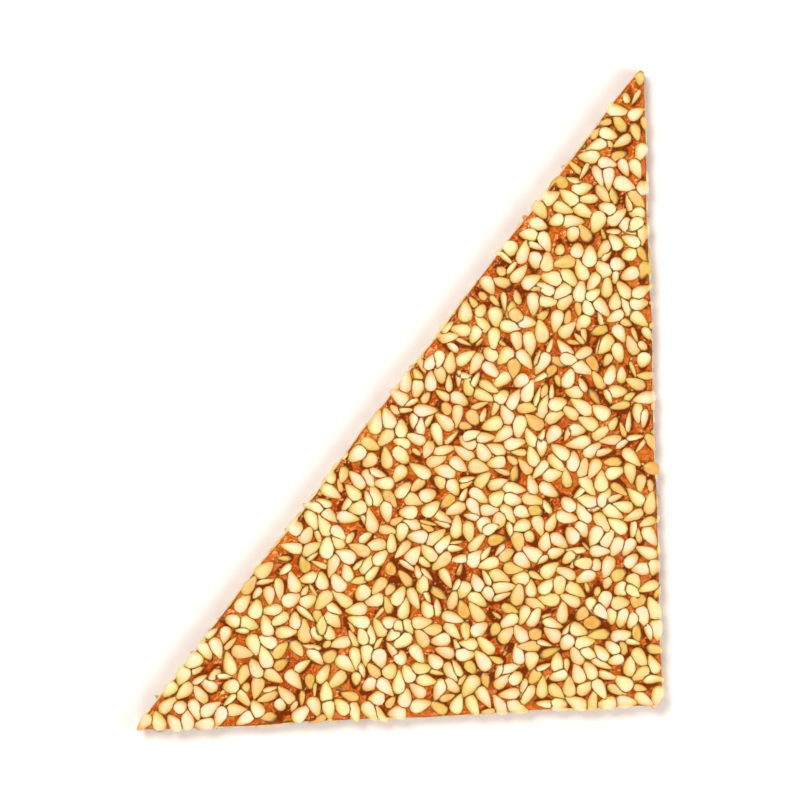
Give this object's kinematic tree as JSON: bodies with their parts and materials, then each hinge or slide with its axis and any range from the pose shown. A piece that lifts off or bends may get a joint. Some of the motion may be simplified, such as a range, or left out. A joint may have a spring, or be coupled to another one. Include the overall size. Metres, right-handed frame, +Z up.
{
  "type": "sesame candy",
  "caption": "Flat three-cornered piece of hard caramel with sesame seeds packed on both faces and a few along its cut sides.",
  "frame": {"origin": "middle of the candy's box, on the surface that it lies on", "axes": "+Z up through the thickness, out of the top face; +Y towards the narrow corner, along the long straight side; +X towards the side between the narrow and the square corner"},
  "size_m": [0.0782, 0.0984, 0.0042],
  "materials": {
    "sesame_caramel": "glossy amber caramel under pale satin sesame seeds"
  },
  "bodies": {
    "root": {"sesame_candy": "sesame_caramel"}
  },
  "joints": []
}
